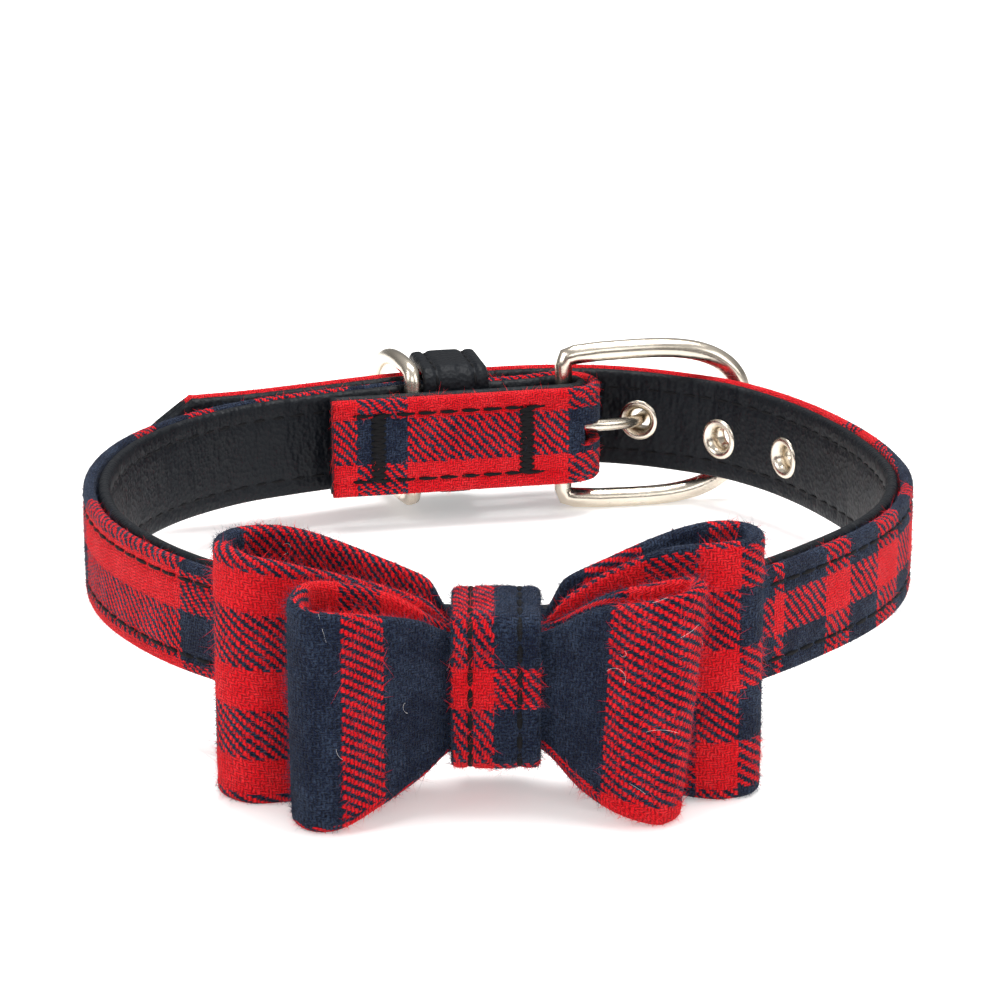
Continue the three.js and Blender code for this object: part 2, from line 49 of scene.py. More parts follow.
# Mid-line of the strap in plan, with its bottom and top edge: x, y, low, high.
FOLDED_END = [
    (-25.1, 22.6, 5.5, 20.5),
    (-15.4, 24.6, 5.5, 20.5),
    (-2.4, 27.4, 5.5, 20.5),
    (6.6, 29.3, 5.5, 20.5),
]
LOOP = [
    (3.3, 35, 5.5, 20.5),
    (-3.4, 33.4, 5.5, 20.5),
    (-9, 32.5, 5.5, 20.5),
    (-13.9, 32, 5.5, 20.5),
    (-19.4, 29.9, 5.5, 20.5),
    (-25, 27.6, 5.5, 20.5),
    (-31.5, 24.4, 5.5, 20.5),
    (-38.2, 20.2, 5.6, 20.6),
    (-44.4, 14, 5.8, 20.8),
    (-49.3, 6.6, 6.1, 21.1),
    (-53, -2.5, 6.5, 21.5),
    (-55, -12.5, 6.9, 21.9),
    (-55.3, -22, 7.3, 22.3),
    (-54.1, -32, 7.7, 22.7),
    (-51.3, -42, 8.1, 23.1),
    (-46.8, -51.4, 8.5, 23.5),
    (-40.4, -60.6, 8.8, 23.8),
    (-32, -68.4, 8.9, 23.9),
    (-21.5, -74.6, 8.9, 23.8),
    (-10.5, -78.6, 8.9, 23.3),
    (0, -79.1, 8.9, 22.9),
    (10.5, -78.6, 8.9, 23.3),
    (21.5, -74.2, 8.9, 23.8),
    (32, -65.8, 8.9, 23.9),
    (40.4, -56, 8.6, 23.6),
    (47.2, -46.4, 8.3, 23.3),
    (51.6, -37.2, 7.9, 22.9),
    (54.2, -27.4, 7.5, 22.5),
    (55, -17, 7, 22),
    (53.9, -6.6, 6.5, 21.5),
    (51.8, 2.8, 6.1, 21.1),
    (48.8, 11.4, 5.8, 20.8),
    (44.8, 19.8, 5.6, 20.6),
    (40, 27, 5.5, 20.5),
    (34.2, 33.5, 5.3, 20.3),
    (28, 38.2, 5, 20),
    (21.8, 41.3, 4.9, 19.9),
    (15.5, 42.6, 5, 20),
    (9.6, 42.2, 5.2, 20.2),
    (3.8, 41.1, 5.4, 20.4),
    (-4, 39.2, 5.5, 20.5),
    (-9.6, 38, 5.5, 20.5),
    (-15, 36.6, 5.5, 20.5),
    (-20.8, 34.2, 5.5, 20.5),
    (-29.4, 30.2, 5.5, 20.5),
    (-38.2, 26.4, 5.5, 20.5),
    (-45.4, 24.1, 5.5, 20.5),
    (-46.4, 23.8, 5.7, 20.3),
    (-50.9, 22.4, 9, 17),
    (-54.2, 21.4, 12.1, 13.9),
]
# Bow loops, clockwise from the front centre: x, y, low, high, wall, lean.
BACK_BOW = [
    (0, -83.8, 7.6, 22.9, 1.4, 0),
    (-6, -83.8, 7.5, 23, 1.4, 0),
    (-8.6, -84, 5.8, 25.6, 1.7, 0),
    (-12.5, -84.4, 4, 27.2, 1.9, 0),
    (-19, -84.7, 1.6, 29.2, 2.1, 0),
    (-26, -85.4, 0, 31, 2.2, 0),
    (-30.6, -85.8, 0, 32.2, 2.2, 0),
    (-33.6, -83.2, 0, 32.8, 2.2, 0),
    (-33.7, -79.6, 0, 33, 2.2, 0),
    (-31, -77, 0, 33, 2.2, 0),
    (-26, -77, 0.2, 32.8, 2.2, 0),
    (-19, -79.9, 2.2, 31.6, 2.1, 0),
    (-12.5, -81.6, 4.3, 29.5, 1.9, 0),
    (-8.6, -82, 5.9, 27.6, 1.7, 0),
    (-6, -82.1, 7.5, 23.4, 1.4, 0),
    (0, -82.1, 7.6, 23.2, 1.4, 0),
    (5.2, -82.1, 7.5, 23.4, 1.4, 0),
    (7.8, -82, 6.2, 27.6, 1.7, 0),
    (12, -81.6, 4.6, 29.8, 1.9, 0),
    (18, -79.8, 2.4, 32, 2.1, 0),
    (24, -77.4, 0.4, 33.3, 2.2, 0),
    (28.3, -77, 0, 33.6, 2.2, 0),
    (30.9, -79.2, 0, 33.6, 2.2, 0),
    (30.6, -82.8, 0, 33.4, 2.2, 0),
    (27, -84.6, 0, 33.3, 2.2, 0),
    (20, -84.8, 1.2, 32.6, 2.1, 0),
    (13, -84.5, 3.8, 29.6, 1.9, 0),
    (7.8, -84, 6, 26, 1.7, 0),
    (5.2, -83.8, 7.5, 23, 1.4, 0),
]
FRONT_BOW = [
    (0, -87.2, 7.7, 22.7, 1.4, 0),
    (-6, -87.2, 7.5, 22.8, 1.4, 0),
    (-10, -89.7, 4.8, 25.2, 1.9, 0),
    (-15, -93.3, 2.4, 27, 2.1, 0),
    (-19.5, -95.4, 0.4, 28, 2.2, 0),
    (-22.8, -94.9, 0, 28.2, 2.2, 0),
    (-24.4, -91.8, 0, 28.8, 2.2, 0),
    (-23.1, -88.8, 0, 29.6, 2.2, 0),
    (-18, -88.2, 1.2, 29.2, 2.1, 0),
    (-12, -87.5, 3.6, 27.2, 1.9, 0),
    (-6, -85.55, 7.5, 23, 1.4, 0),
    (0, -85.55, 7.6, 22.9, 1.4, 0),
    (5.2, -85.55, 7.5, 23, 1.4, 0),
    (12, -87.4, 3.8, 27.6, 1.9, 0.8),
    (17.2, -88, 1.4, 29.4, 2.1, 2),
    (19.9, -88.4, 0.1, 30.2, 2.2, 3),
    (21, -90.6, 0, 30.3, 2.2, 3),
    (19.3, -93, 0, 29.8, 2.2, 3),
    (15.2, -93.5, 1.3, 28.8, 2.1, 2),
    (10.5, -90.3, 3.2, 26.8, 1.9, 0.8),
    (5.2, -87.2, 7.6, 22.8, 1.4, 0),
]
# Prong: x, y, rise.
PRONG = [
    (11.4, 33.9, 0),
    (14.5, 34.6, 0),
    (18.4, 36.6, -0.3),
    (20.9, 39, -0.5),
    (22.4, 42.2, -0.5),
    (24.4, 44.2, -0.3),
    (28.4, 44.3, 0),
    (33.4, 42.7, 0.3),
    (38.6, 40.6, 0.6),
]

WRAP_RADIUS = 3.7  # from the bar's centre to the strap's mid-line
BACK_TURN = math.radians(12)  # of the buckled part from the x axis
ALONG = np.array([math.cos(BACK_TURN), math.sin(BACK_TURN)])
OUT = np.array([-math.sin(BACK_TURN), math.cos(BACK_TURN)])
UP = np.array([0, 0, 1])
BACK_FACE = np.array([-4.5, 25])  # on the folded end, where keeper and ring are measured from
BAR = np.array([9.6, 33.75])
MID_HEIGHT = 13
KNOT_MIDDLE = (-0.5, -82.5, 15.3)
EYELETS = [(49.8, 0), (64.8, 0), (79.8, 0), (94.8, -1.2), (109.8, -1)]  # from the tip, rise
HOLE_RADIUS = 2.45

RING_PIN = BACK_FACE + ALONG * -7.7 + OUT * 5.35
RING_TURN = 110  # degrees from the x axis at rest
RING_SWING = range(RING_TURN - 6, RING_TURN + 22, 4)
RING_REACH = 19
RING_CLEARANCE = 2.6

# Stitches: pitch along the strap, and how far each seam is from the edge.
STITCH_PITCH = 3.3
CLOTH_SEAM = 2.4
LINING_SEAM = 2.6
KNOT_SEAMS = (-3.1, 2.9)
KEEPER_SEAMS = (-2.9, 2.9)

# Stripes: where each ends, and 1 for red or 0 for navy. Columns are counted along the cloth, rows across it.
# A drift table slides the rows: how far along the cloth, and how far the rows have slid there.
STRAP_COLUMNS = [
    (2, 1), (9.4, 0), (34.1, 1), (42, 0), (47, 1), (60, 0), (66, 1), (80, 0), (94, 1), (103, 0),
    (107.6, 1), (115.6, 0), (120.6, 1), (156, 0), (188.9, 1), (196, 0), (201, 1), (240, 0), (266, 1),
    (270.6, 0), (272.8, 1), (281.8, 0), (287.2, 1), (294.9, 0), (302.4, 1), (310, 0), (316, 1), (340, 0),
    (346, 1), (352, 0), (480, 1),
]
STRAP_ROWS = [(0.9, 0), (6.4, 1), (13.3, 0), (18.8, 1), (25.7, 0), (31.2, 1), (33, 0), (38.6, 1), (46, 0)]
STRAP_DRIFT = [
    (0, 2.4), (38, 2.6), (110, 6), (150, 6.1), (195, 6.1), (265, 8.8), (310, 8.8), (345, 12), (480, 12),
]
BACK_COLUMNS = [
    (35.5, 1), (41, 0), (66, 1), (84, 0), (91, 1), (100, 0), (104.5, 1), (112.6, 0), (117.5, 1), (124, 0),
    (142, 1),
]
BACK_ROWS = [
    (4.3, 1), (10.6, 0), (15.8, 1), (23.2, 0), (28.2, 1), (36.2, 0), (41.6, 1), (48, 0), (54, 1), (66, 0),
]
BACK_DRIFT = [(0, -1), (30, 0), (76, -1), (112, -1.6), (142, -1)]
FRONT_COLUMNS = [
    (16.2, 0), (21.2, 1), (31, 0), (36, 1), (41, 0), (46, 1), (70, 0), (88.8, 1), (104, 0),
]
FRONT_ROWS = [(0.5, 1), (31.4, 0), (38, 1), (44, 0), (50, 1), (62, 0), (66.2, 1), (70, 0)]
FRONT_DRIFT = [(0, 1.2), (50, 1), (76, 0), (84, -0.5), (98, -0.5), (104, 1.2)]
KNOT_COLUMNS = [(0.3, 0), (5.4, 1), (11, 0)]
KNOT_ROWS = [(5.6, 0), (10.9, 1), (40, 0), (45, 1), (52, 0), (58, 1), (70, 0)]

# Width of one warp and one weft thread.
STRAP_YARN, BACK_YARN, FRONT_YARN, KNOT_YARN = (0.36, 0.39), (0.41, 0.34), (0.44, 0.31), (0.31, 0.4)

# The darkest red and navy are painted shade for the gaps between the threads of the weave.
RED, RED_LIGHT, RED_GAP_SHADE = (0.78, 0.004, 0.012, 1), (0.95, 0.035, 0.045, 1), (0.26, 0.001, 0.005, 1)
NAVY, NAVY_LIGHT, NAVY_GAP_SHADE = (0.006, 0.011, 0.032, 1), (0.05, 0.075, 0.13, 1), (0.001, 0.002, 0.008, 1)

low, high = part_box("bow_knot")
SHIFT = np.array((low + high) / 2) - np.array(KNOT_MIDDLE) / 1000


# Curves

def curve(rows, closed, steps, centripetal):
    """Samples of a Catmull-Rom curve, steps for each row."""
    rows = np.array(rows, float)
    count = len(rows)
    samples = (count if closed else count - 1) * steps
    points = []
    for i in range(samples if closed else samples + 1):
        k, share = divmod(i, steps)
        share /= steps
        if not closed and k == count - 1:
            k, share = count - 2, 1.0
        a = rows[(k - 1) % count] if closed or k > 0 else 2 * rows[0] - rows[1]
        b, c = rows[k % count], rows[(k + 1) % count]
        d = rows[(k + 2) % count] if closed or k + 2 < count else 2 * rows[-1] - rows[-2]
        if centripetal:
            ab, bc, cd = (max(float(np.sum((end - start) ** 2)) ** 0.25, 1e-4)
                          for start, end in ((a, b), (b, c), (c, d)))
            leaving = ((b - a) / ab - (c - a) / (ab + bc) + (c - b) / bc) * bc
            arriving = ((c - b) / bc - (d - b) / (bc + cd) + (d - c) / cd) * bc
        else:
            leaving, arriving = 0.5 * (c - a), 0.5 * (d - b)
        square = (-3 * b + 3 * c - 2 * leaving - arriving) * share**2
        points.append(b + leaving * share + square + (2 * b - 2 * c + leaving + arriving) * share**3)
    return np.array(points)


def path(rows, closed):
    """A plan path with its right-hand normal, its edges, its other columns and the length along it."""
    rows = np.array(rows, float)
    plan = curve(rows[:, :2], closed, 8, True)
    shape = curve(rows[:, 2:], closed, 8, False)
    way = np.roll(plan, -1, 0) - np.roll(plan, 1, 0) if closed else np.gradient(plan, axis=0)
    way /= np.linalg.norm(way, axis=1)[:, None]
    gaps = np.linalg.norm(np.diff(np.vstack([plan, plan[:1]]), axis=0), axis=1)
    along = np.concatenate([[0], np.cumsum(gaps)])
    return {
        "plan": plan, "normal": np.stack([way[:, 1], -way[:, 0]], 1), "shape": shape,
        "low": np.maximum(shape[:, 0], 0), "high": shape[:, 1],
        "along": along[:-1], "total": along[-1], "closed": closed,
    }


wrap = []
for degrees in (0, 45, 90, 135, 180):
    angle = math.radians(degrees)
    at = BAR + WRAP_RADIUS * (ALONG * math.sin(angle) - OUT * math.cos(angle))
    wrap.append((at[0], at[1], 5.5, 20.5))
strap = path(FOLDED_END + wrap + LOOP, False)
STRAP_LENGTH = float(strap["along"][-1])
back_bow = path(BACK_BOW, True)
front_bow = path(FRONT_BOW, True)


# Meshes

def mesh_object(name, points, faces, maps, material, smooth=True, picks=None):
    """A mesh from points in millimetres. maps holds, for each UV map, the places of each face's corners."""
    mesh = bpy.data.meshes.new(name)
    corners = faces.tolist() if isinstance(faces, np.ndarray) else faces
    mesh.from_pydata((np.asarray(points) / 1000 + SHIFT).tolist(), [], corners)
    for key, values in maps.items():
        layer = mesh.uv_layers.new(name=key)
        layer.data.foreach_set("uv", np.asarray(values, np.float32).ravel())
    mesh.polygons.foreach_set("use_smooth", [smooth] * len(mesh.polygons))
    for choice in material if isinstance(material, list) else [material]:
        mesh.materials.append(choice)
    if picks is not None:
        mesh.polygons.foreach_set("material_index", picks)
    mesh.update()
    obj = bpy.data.objects.new(name, mesh)
    bpy.context.scene.collection.objects.link(obj)
    return obj


def grid_faces(rows, around, closed):
    """Quads between rings, with the ring number and the place round it of each corner."""
    last = rows if closed else rows - 1
    i, k = np.meshgrid(np.arange(last), np.arange(around), indexing="ij")
    i, k = i.ravel(), k.ravel()
    ring = np.stack([i, i + 1, i + 1, i], 1)
    side = np.stack([k, k, k + 1, k + 1], 1)
    return (ring % rows) * around + side % around, ring, side


def band_section(divisions, corner):
    """Places round an upright band: the face each is on, its share of the height, the turn of its edge."""
    places = [("out", (j + 0.5) / divisions, 0) for j in range(divisions)]
    places += [("top", 1, (j + 1) / (corner + 1)) for j in range(corner)]
    places += [("in", 1 - (j + 0.5) / divisions, 0) for j in range(divisions)]
    places += [("bottom", 0, (j + 1) / (corner + 1)) for j in range(corner)]
    return places


def band(route, inner, outer, divisions, corner, relief):
    """Rings of points of a band that stands between two offsets from its path."""
    count = len(route["plan"])
    section = band_section(divisions, corner)
    rings = []
    for i, (a, b) in enumerate(zip(np.broadcast_to(inner, count), np.broadcast_to(outer, count))):
        low, high = route["low"][i], route["high"][i]
        lean = route["shape"][i, 3] if route["shape"].shape[1] > 3 else 0
        radius = abs(b - a) / 2
        tall = max(high - low - 2 * radius, 0.05)
        ring = []
        for face, share, turn in section:
            if face in ("out", "in"):
                offset, z = b if face == "out" else a, low + radius + share * tall
            else:
                sign = 1 if face == "top" else -1
                angle = math.pi * turn
                offset = (a + b) / 2 + (b - a) / 2 * math.cos(angle) * sign
                z = (high - radius if face == "top" else low + radius) + sign * radius * math.sin(angle)
            offset += relief(route["along"][i], z, low, high, face) * (1 if b > a else -1)
            x, y = route["plan"][i] + route["normal"][i] * offset
            ring.append((x + lean * (z - low) / max(high - low, 0.1), y, z))
        rings.append(ring)
    return np.array(rings)


def band_maps(route, rings, drift, height=None):
    """A band's faces and two UV maps: where each thread is, and where the stripes are looked up.

    With a height, each side of the band is stretched to it on the chart.
    """
    count, around = rings.shape[:2]
    faces, ring, side = grid_faces(count, around, route["closed"])
    steps = np.linalg.norm(np.diff(np.concatenate([rings, rings[:, :1]], 1), axis=1), axis=2)
    gone = np.concatenate([np.zeros((count, 1)), np.cumsum(steps, 1)], 1)
    gone = np.vstack([gone, gone[:1]])
    threads = chart = gone
    if height:
        half = gone[:, -1:] / 2
        threads, chart = gone - half / 2 + height / 2, gone / half * height
    along = np.append(route["along"], route["total"])[ring]
    slide = np.interp(along, *zip(*drift))
    threads, chart = (np.stack([along, across[ring, side] + slide], 2) for across in (threads, chart))
    return faces, threads, chart


def caps(faces, count, around):
    """The two ends of an open band as fans of quads across it."""
    ends = []
    for base, flip in ((0, False), ((count - 1) * around, True)):
        for k in range(around // 2 - 1):
            quad = [base + k, base + k + 1, base + (around - 2 - k), base + (around - 1 - k)]
            ends.append(quad[::-1] if flip else quad)
    return np.vstack([faces, np.array(ends)]), len(ends)


# Materials

def new_material(name):
    """A material and its one shader."""
    material = bpy.data.materials.new(name)
    material.use_nodes = True
    nodes = material.node_tree.nodes
    nodes.clear()
    out = nodes.new("ShaderNodeOutputMaterial")
    shader = nodes.new("ShaderNodeBsdfPrincipled")
    material.node_tree.links.new(shader.outputs[0], out.inputs[0])
    return material, shader


class Nodes:
    """Short forms for wiring a material's nodes."""

    def __init__(self, material):
        self.tree = material.node_tree

    def add(self, kind, **settings):
        node = self.tree.nodes.new(kind)
        for key, value in settings.items():
            setattr(node, key, value)
        return node

    def wire(self, value, socket):
        if isinstance(value, (int, float, tuple)):
            socket.default_value = value
        else:
            self.tree.links.new(value, socket)

    def math(self, operation, a, b=0.0, c=None):
        node = self.add("ShaderNodeMath", operation=operation)
        self.wire(a, node.inputs[0])
        self.wire(b, node.inputs[1])
        if c is not None:
            self.wire(c, node.inputs[2])
        return node.outputs[0]

    def mix(self, share, a, b, kind="MIX"):
        node = self.add("ShaderNodeMix", data_type="RGBA", blend_type=kind)
        self.wire(share, node.inputs[0])
        self.wire(a, node.inputs[6])
        self.wire(b, node.inputs[7])
        return node.outputs[2]

    def noise(self, scale, detail=2.0, rough=0.5, vector=None):
        node = self.add("ShaderNodeTexNoise")
        node.inputs["Scale"].default_value = scale
        node.inputs["Detail"].default_value = detail
        node.inputs["Roughness"].default_value = rough
        if vector is not None:
            self.tree.links.new(vector, node.inputs["Vector"])
        return node.outputs["Fac"]

    def map_range(self, value, from_low, from_high, to_high):
        """Takes from_low to from_high onto 0 to to_high, held at the ends."""
        node = self.add("ShaderNodeMapRange")
        for number, socket in zip((value, from_low, from_high, 0.0, to_high), node.inputs):
            self.wire(number, socket)
        return node.outputs[0]

    def place(self):
        return self.add("ShaderNodeTexCoord").outputs["Object"]

    def uv(self, name):
        return self.add("ShaderNodeUVMap", uv_map=name).outputs[0]

    def split(self, vector):
        node = self.add("ShaderNodeSeparateXYZ")
        self.tree.links.new(vector, node.inputs[0])
        return node.outputs

    def join(self, x, y, z=0.0):
        node = self.add("ShaderNodeCombineXYZ")
        for value, socket in zip((x, y, z), node.inputs):
            self.wire(value, socket)
        return node.outputs[0]

    def stripes(self, value, chart):
        """1 or 0 from a stripe table."""
        whole = chart[-1][0]
        ramp = self.add("ShaderNodeValToRGB")
        ramp.color_ramp.interpolation = "CONSTANT"
        starts = [0.0] + [end / whole for end, _ in chart[:-1]]
        elements = ramp.color_ramp.elements
        elements[0].position = 0
        elements.remove(elements[1])
        for i, ((_, red), start) in enumerate(zip(chart, starts)):
            stop = elements[0] if i == 0 else elements.new(start)
            stop.color = (red, red, red, 1)
        self.wire(self.math("DIVIDE", value, whole), ramp.inputs[0])
        return ramp.outputs[0]

    def bump(self, height, distance, strength=1.0, before=None):
        node = self.add("ShaderNodeBump")
        node.inputs["Distance"].default_value = distance
        node.inputs["Strength"].default_value = strength
        self.tree.links.new(height, node.inputs["Height"])
        if before is not None:
            self.tree.links.new(before, node.inputs["Normal"])
        return node.outputs[0]


def flannel(name, columns, rows, yarn, slant=1, fibre=False):
    """A 2/2 twill whose warp takes the column's colour and whose weft takes the row's."""
    material, shader = new_material(name)
    n = Nodes(material)
    u, v, _ = n.split(n.uv("threads"))
    _, chart_v, _ = n.split(n.uv("stripes"))
    place = n.place()
    # Threads wander a little, but a fibre takes the colour at its root.
    unsteady = n.math("SUBTRACT", n.noise(900, 4, 0.7, place), 0.5)
    wander = n.math("MULTIPLY", unsteady, 0.0 if fibre else 0.95)
    u = n.math("DIVIDE", n.math("ADD", u, wander), yarn[0])
    v = n.math("DIVIDE", n.math("ADD", v, n.math("MULTIPLY", wander, 0.8)), yarn[1])
    warp, weft = n.math("FLOOR", u), n.math("FLOOR", v)
    step = n.math("ADD", warp, n.math("MULTIPLY", weft, float(slant)))
    over = n.math("LESS_THAN", n.math("FLOORED_MODULO", step, 4.0), 2.0)
    column = n.stripes(n.math("MULTIPLY", n.math("ADD", warp, 0.5), yarn[0]), columns)
    row = n.stripes(n.math("ADD", chart_v, n.math("MULTIPLY", wander, 0.6)), rows)
    red = n.mix(over, row, column)
    # Each thread is round across, and wool lies over it in a fine nap and in patches.
    off_u, off_v = (n.math("ABSOLUTE", n.math("SUBTRACT", n.math("FRACT", at), 0.5)) for at in (u, v))
    across = n.mix(over, off_v, off_u)
    ridge = n.math("SUBTRACT", 1.0, n.math("MULTIPLY", n.math("MULTIPLY", across, across), 4.0))
    wool = n.noise(2600, 4, 0.75, place)
    patchy = n.noise(260, 3, 0.55, place)
    soft = n.math("ADD", n.math("MULTIPLY", wool, 0.65), n.math("MULTIPLY", patchy, 0.35))
    light = n.mix(red, NAVY_LIGHT, RED_LIGHT)
    colour = n.mix(n.map_range(soft, 0.46, 0.6, 0.75), n.mix(red, NAVY, RED), light)
    if fibre:
        colour = n.mix(0.35, colour, light)
    else:
        # Painted shade: the colour darkens towards the darkest red and navy in the gaps between the round
        # threads.
        gap_shade = n.map_range(n.math("MULTIPLY", ridge, n.math("ADD", wool, 0.5)), 0.92, 0.3, 0.9)
        colour = n.mix(gap_shade, colour, n.mix(red, NAVY_GAP_SHADE, RED_GAP_SHADE))
        woolly = n.bump(wool, 0.0003, 0.9, n.bump(ridge, 0.00014, 0.9))
        n.wire(n.bump(patchy, 0.0005, 0.35, woolly), shader.inputs["Normal"])
    n.wire(colour, shader.inputs["Base Color"])
    shader.inputs["Roughness"].default_value = 0.95
    shader.inputs["Specular IOR Level"].default_value = 0.12
    shader.inputs["Sheen Weight"].default_value = 0.06
    shader.inputs["Sheen Roughness"].default_value = 0.5
    return material


def leather(name):
    """Black leather: fine pebbles, soft creases across the strap and a little wear."""
    material, shader = new_material(name)
    n = Nodes(material)
    place = n.place()
    pebble = n.add("ShaderNodeTexVoronoi", feature="F1")
    pebble.inputs["Scale"].default_value = 1500
    n.wire(place, pebble.inputs["Vector"])
    u, v, _ = n.split(n.uv("threads"))
    crease = n.noise(1.0, 3, 0.55, n.join(n.math("MULTIPLY", u, 0.24), n.math("MULTIPLY", v, 0.07)))
    blotch = n.noise(110, 3, 0.5, place)
    fine = n.noise(2200, 3, 0.6, place)
    colour = n.mix(blotch, (0.0012, 0.0022, 0.0042, 1), (0.0035, 0.0055, 0.009, 1))
    worn = n.map_range(fine, 0.55, 0.75, 0.5)
    n.wire(n.mix(worn, colour, (0.011, 0.012, 0.015, 1)), shader.inputs["Base Color"])
    n.wire(n.math("ADD", 0.38, n.math("MULTIPLY", blotch, 0.3)), shader.inputs["Roughness"])
    shader.inputs["Specular IOR Level"].default_value = 0.2
    folds = n.bump(crease, 0.0022, 0.5)
    grain = n.bump(pebble.outputs["Distance"], 0.00025, 0.45, folds)
    n.wire(n.bump(fine, 0.00008, 0.5, grain), shader.inputs["Normal"])
    return material


def thread(name):
    """Black sewing thread with a faint twist."""
    material, shader = new_material(name)
    n = Nodes(material)
    u, v, _ = n.split(n.uv("threads"))
    twist = n.add("ShaderNodeTexWave", wave_type="BANDS")
    twist.inputs["Scale"].default_value = 0.9
    n.wire(n.join(u, v), twist.inputs["Vector"])
    colour = n.mix(twist.outputs["Fac"], (0.0015, 0.0015, 0.002, 1), (0.008, 0.008, 0.01, 1))
    n.wire(colour, shader.inputs["Base Color"])
    shader.inputs["Roughness"].default_value = 0.75
    shader.inputs["Specular IOR Level"].default_value = 0.2
    n.wire(n.bump(twist.outputs["Fac"], 0.00008, 0.6), shader.inputs["Normal"])
    return material


def nickel(name):
    """Polished nickel plate: warm, with faint waves, fine scratches and dull spots."""
    material, shader = new_material(name)
    n = Nodes(material)
    place = n.place()
    cloud = n.noise(180, 3, 0.5, place)
    stretched = [n.math("MULTIPLY", axis, scale) for axis, scale in zip(n.split(place), (0.25, 1.0, 4.0))]
    scratch = n.noise(900, 2, 0.5, n.join(*stretched))
    n.wire(n.mix(cloud, (0.66, 0.585, 0.48, 1), (0.84, 0.77, 0.66, 1)), shader.inputs["Base Color"])
    shader.inputs["Metallic"].default_value = 1.0
    rough = n.math("ADD", 0.17, n.math("MULTIPLY", n.math("MULTIPLY", cloud, scratch), 0.3))
    n.wire(rough, shader.inputs["Roughness"])
    n.wire(n.bump(scratch, 0.00003, 0.25, n.bump(cloud, 0.0004, 0.12)), shader.inputs["Normal"])
    return material


LEATHER = leather("black_leather_grain")
THREAD = thread("black_thread")
NICKEL = nickel("nickel_plate")
STRAP_CLOTH = flannel("strap_flannel", STRAP_COLUMNS, STRAP_ROWS, STRAP_YARN)
STRAP_FIBRE = flannel("strap_fibre", STRAP_COLUMNS, STRAP_ROWS, STRAP_YARN, 1, True)
BACK_CLOTH = flannel("bow_back_flannel", BACK_COLUMNS, BACK_ROWS, BACK_YARN, -1)
BACK_FIBRE = flannel("bow_back_fibre", BACK_COLUMNS, BACK_ROWS, BACK_YARN, -1, True)
FRONT_CLOTH = flannel("bow_front_flannel", FRONT_COLUMNS, FRONT_ROWS, FRONT_YARN, -1)
FRONT_FIBRE = flannel("bow_front_fibre", FRONT_COLUMNS, FRONT_ROWS, FRONT_YARN, -1, True)
KNOT_CLOTH = flannel("knot_flannel", KNOT_COLUMNS, KNOT_ROWS, KNOT_YARN)
KNOT_FIBRE = flannel("knot_fibre", KNOT_COLUMNS, KNOT_ROWS, KNOT_YARN, 1, True)


# Wool and thread

def ring_distance(at):
    """How far a point in plan is from the leash ring, wherever it swings to."""
    nearest = math.inf
    for degrees in RING_SWING:
        way = np.array([math.cos(math.radians(degrees)), math.sin(math.radians(degrees))])
        reach = min(max(float((at - RING_PIN) @ way), 0), RING_REACH)
        nearest = min(nearest, float(np.linalg.norm(at - RING_PIN - way * reach)))
    return nearest


def mesh_values(items, key, width=1, kind=float):
    """One value, or a row of them, for each of a mesh's items."""
    values = np.zeros(len(items) * width, kind)
    items.foreach_get(key, values)
    return values.reshape(-1, width) if width > 1 else values


def fibres(name, source, count, material, length):
    """Short wool fibres on a cloth piece, each a thin closed spike. None stands in the ring's way."""
    mesh = source.data
    corners = (mesh_values(mesh.vertices, "co", 3) - SHIFT) * 1000
    normals = mesh_values(mesh.polygons, "normal", 3)
    areas = mesh_values(mesh.polygons, "area")
    areas[mesh_values(mesh.polygons, "material_index", 1, int) > 0] = 0
    starts = mesh_values(mesh.polygons, "loop_start", 1, int)
    loops = mesh_values(mesh.loops, "vertex_index", 1, int)
    face = rng.choice(len(areas), count, p=areas / areas.sum())
    weight = rng.dirichlet((1, 1, 1), count)[:, :, None]
    picks = starts[face][:, None] + np.arange(3)
    root = (corners[loops[picks]] * weight).sum(1)
    clear = np.array([ring_distance(at) > RING_CLEARANCE for at in root[:, :2]])
    spots = {}
    for layer in mesh.uv_layers:
        spots[layer.name] = (mesh_values(layer.data, "uv", 2)[picks] * weight).sum(1)[clear]
    root, normal = root[clear], normals[face[clear]]
    count = len(root)
    loose = rng.normal(size=(count, 3))
    loose -= (loose * normal).sum(1)[:, None] * normal
    loose /= np.linalg.norm(loose, axis=1)[:, None]
    rise = rng.uniform(0.25, 1.0, count)[:, None] * (1 - 0.4 * rng.random((count, 1)))
    way = normal * rise + loose * np.sqrt(1 - rise**2)
    tip = way * length * rng.gamma(2.2, 0.42, count)[:, None]
    root -= normal * 0.06
    side = np.cross(way, loose + 0.01)
    side /= np.linalg.norm(side, axis=1)[:, None]
    other = np.cross(way, side)
    angles = [k * 2 * math.pi / 3 for k in range(3)]
    points = [root + 0.028 * (side * math.cos(angle) + other * math.sin(angle)) for angle in angles]
    points = np.stack(points + [root + tip], 1).reshape(-1, 3)
    spike = np.array([(0, 1, 3), (1, 2, 3), (2, 0, 3), (0, 2, 1)])
    faces = (np.arange(count)[:, None, None] * 4 + spike).reshape(-1, 3)
    maps = {key: np.repeat(value, spike.size, 0) for key, value in spots.items()}
    return mesh_object(name, points, faces, maps, material, False)


